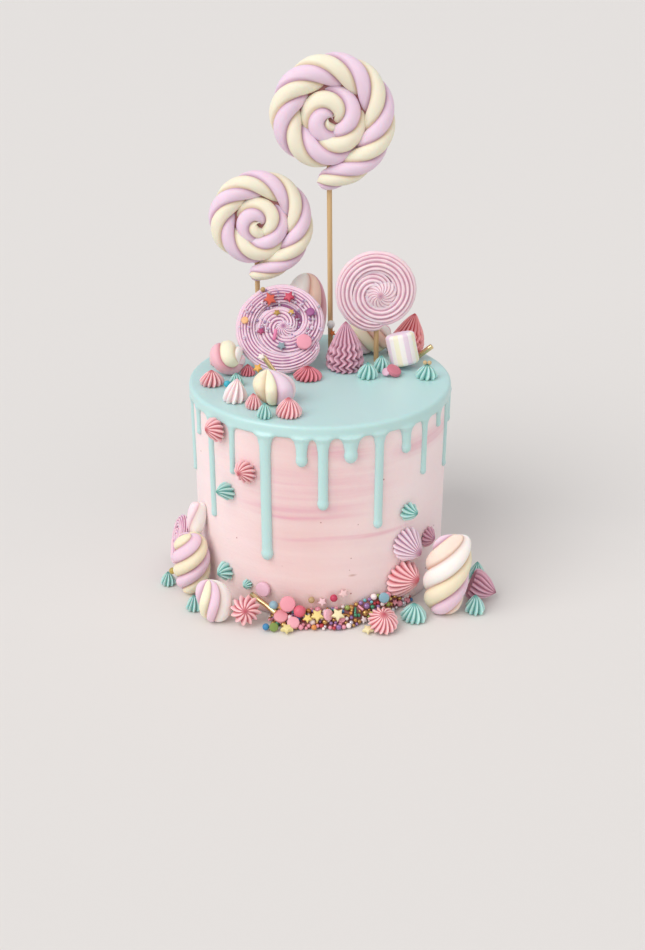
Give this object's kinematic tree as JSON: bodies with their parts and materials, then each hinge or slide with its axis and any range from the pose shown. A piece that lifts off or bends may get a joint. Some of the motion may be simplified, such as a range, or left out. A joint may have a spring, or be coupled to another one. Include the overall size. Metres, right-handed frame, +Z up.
{
  "type": "marshmallow cake",
  "caption": "Round iced drip cake topped with marshmallow lollipops, twisted marshmallows, piped meringue swirls and kisses, with sprinkles banked at its foot.",
  "frame": {"origin": "centre of the cake's underside", "axes": "+Z up along the cake's axis; the front with the sprinkles faces -Y; +X to the right seen from the front"},
  "size_m": [0.2111, 0.1817, 0.3122],
  "materials": {
    "buttercream": "smoothed pale pink buttercream with darker streaks",
    "icing": "satin mint drip icing",
    "meringue_pink": "baked pink meringue",
    "meringue_mint": "baked mint meringue",
    "meringue_lilac": "baked lilac pink meringue",
    "meringue_mauve": "baked mauve meringue",
    "marshmallow": "powdery cream, pink and lilac strands",
    "stick": "bare pale wood with a gold tint",
    "gold": "bright metallic sugar coat",
    "sprinkles": "mixed pearls, discs, stars and rods"
  },
  "bodies": {
    "root": {"cake": "buttercream", "disc_pink": "meringue_pink", "gold_rod_foot": "gold", "gold_rod_left": "gold", "gold_rod_right": "gold", "icing_drip": "icing", "kiss_blush": "meringue_pink", "kiss_deep_pink": "meringue_pink", "kiss_deep_pink_left": "meringue_pink", "kiss_foot_deep_pink": "meringue_pink", "kiss_foot_mauve": "meringue_mauve", "kiss_foot_mint_back": "meringue_mint", "kiss_foot_mint_far_left": "meringue_mint", "kiss_foot_mint_far_right": "meringue_mint", "kiss_foot_mint_front": "meringue_mint", "kiss_foot_mint_left": "meringue_mint", "kiss_foot_mint_tiny": "meringue_mint", "kiss_foot_mint_wall": "meringue_mint", "kiss_foot_pink_left": "meringue_pink", "kiss_foot_pink_low": "meringue_pink", "kiss_foot_pink_wall": "meringue_pink", "kiss_lilac_back": "meringue_lilac", "kiss_mauve_tall": "meringue_mauve", "kiss_mint_behind": "meringue_mint", "kiss_mint_front": "meringue_mint", "kiss_mint_middle": "meringue_mint", "kiss_mint_pale": "meringue_mint", "kiss_mint_right": "meringue_mint", "kiss_pink_back": "meringue_pink", "kiss_pink_back_left": "meringue_pink", "kiss_pink_far_left": "meringue_pink", "kiss_pink_front": "meringue_pink", "kiss_pink_small": "meringue_pink", "kiss_pink_tall_back": "meringue_pink", "kiss_side_lilac": "meringue_lilac", "kiss_side_mint_left": "meringue_mint", "kiss_side_mint_right": "meringue_mint", "kiss_side_pink_high": "meringue_pink", "kiss_side_pink_low": "meringue_pink", "lollipop_short": "marshmallow", "lollipop_short_stick": "stick", "lollipop_tall": "marshmallow", "lollipop_tall_stick": "stick", "marshmallow_barrel": "marshmallow", "marshmallow_foot_back": "marshmallow", "marshmallow_foot_front": "marshmallow", "marshmallow_foot_left": "marshmallow", "marshmallow_foot_right": "marshmallow", "marshmallow_front": "marshmallow", "marshmallow_left": "marshmallow", "marshmallow_lying": "marshmallow", "marshmallow_standing": "marshmallow", "rosette_edge_left": "meringue_mauve", "rosette_mauve": "meringue_mauve", "rosette_pink": "meringue_lilac", "rosette_pink_stick": "stick", "sprinkle_heap": "sprinkles"}
  },
  "joints": []
}
